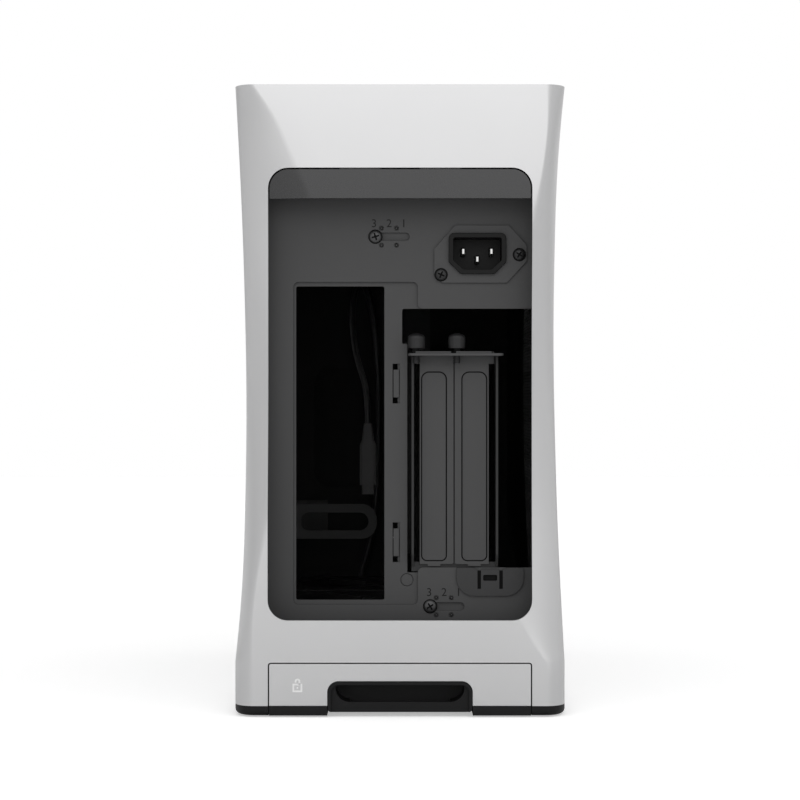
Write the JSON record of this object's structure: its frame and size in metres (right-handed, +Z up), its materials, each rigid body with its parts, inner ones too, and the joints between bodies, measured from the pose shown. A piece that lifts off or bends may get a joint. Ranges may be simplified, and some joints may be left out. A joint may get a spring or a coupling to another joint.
{
  "type": "mini-tower computer case",
  "caption": "Empty mini-ITX tower case: waisted aluminium shell that lifts off a dark steel chassis, sliding spine, slot cage, mains inlet, intake fans and a pull-out filter tray.",
  "frame": {"origin": "middle of the case's footprint on the table", "axes": "+Z up, +Y towards the front, so the rear seen in the picture faces -Y; +X right in the picture"},
  "size_m": [0.165, 0.366, 0.314],
  "materials": {
    "anodised_aluminium": "fine bead-blasted, anodised silver",
    "coated_steel": "fine-textured dark grey powder coat",
    "trim_plastic": "smooth satin dark grey",
    "base_plastic": "fine-textured black",
    "fan_plastic": "satin black",
    "inlet_plastic": "satin black",
    "black_screw": "black oxide",
    "plated_metal": "bright nickel plate",
    "board_laminate": "black solder mask",
    "black_rubber": "matt",
    "filter_cloth": "fine nylon mesh"
  },
  "bodies": {
    "chassis": {"base_frame": "base_plastic", "rubber_feet": "black_rubber", "floor_plate": "coated_steel", "rear_panel": "coated_steel", "front_plate": "coated_steel", "top_bracket": "coated_steel", "psu_bracket": "coated_steel", "cable_bar": "coated_steel", "ac_inlet": "inlet_plastic", "ac_inlet_plate": "coated_steel", "ac_inlet_blades": "plated_metal", "inlet_screws": "black_screw", "slot_foot_clip": "trim_plastic", "rear_fan_frame": "fan_plastic", "front_fan_frame": "fan_plastic", "front_io_fascia": "anodised_aluminium", "io_board": "board_laminate", "power_switch": "inlet_plastic", "usb_a_ports": "plated_metal", "usb_c_port": "plated_metal", "audio_jack": "inlet_plastic", "lead_header": "inlet_plastic", "lead_grommet": "black_rubber", "front_lead": "black_rubber", "lead_connector": "inlet_plastic"},
    "spine": {"spine_plate": "coated_steel", "board_standoffs": "plated_metal", "spine_screws": "black_screw", "slot_bracket": "coated_steel", "slot_cover_inner": "coated_steel", "slot_cover_outer": "coated_steel", "slot_thumbscrews": "black_screw"},
    "shell": {"outer_shell": "anodised_aluminium", "rear_lip_trim": "trim_plastic", "top_frame": "coated_steel"},
    "top_panel": {"top_panel": "anodised_aluminium", "top_panel_studs": "plated_metal", "top_filter": "filter_cloth"},
    "filter_tray": {"tray_fascia": "anodised_aluminium", "tray_frame": "base_plastic", "tray_handle": "base_plastic", "filter_mesh": "filter_cloth"},
    "rear_fan_rotor": {"rear_fan_rotor": "fan_plastic"},
    "front_fan_rotor": {"front_fan_rotor": "fan_plastic"},
    "power_button": {"power_button": "trim_plastic"}
  },
  "joints": [
    {"name": "spine_slide", "type": "slide", "parent": "chassis", "child": "spine", "axis": [1, 0, 0], "range_m": [0, 0.0152]},
    {"name": "shell_lift", "type": "slide", "parent": "chassis", "child": "shell", "axis": [0, 0, 1], "range_m": [0, 0.3]},
    {"name": "top_panel_lift", "type": "slide", "parent": "shell", "child": "top_panel", "axis": [0, 0, 1], "range_m": [0, 0.06]},
    {"name": "tray_slide", "type": "slide", "parent": "chassis", "child": "filter_tray", "axis": [0, -1, 0], "range_m": [0, 0.315]},
    {"name": "rear_fan_spin", "type": "hinge", "parent": "chassis", "child": "rear_fan_rotor", "pos_m": [0, -0.062, 0.038], "axis": [0, 0, 1], "continuous": true},
    {"name": "front_fan_spin", "type": "hinge", "parent": "chassis", "child": "front_fan_rotor", "pos_m": [0, 0.062, 0.038], "axis": [0, 0, 1], "continuous": true},
    {"name": "button_press", "type": "slide", "parent": "chassis", "child": "power_button", "axis": [0, -1, 0], "range_m": [0, 0.0015], "stiffness_N_per_m": 800, "springref_m": -0.001}
  ]
}
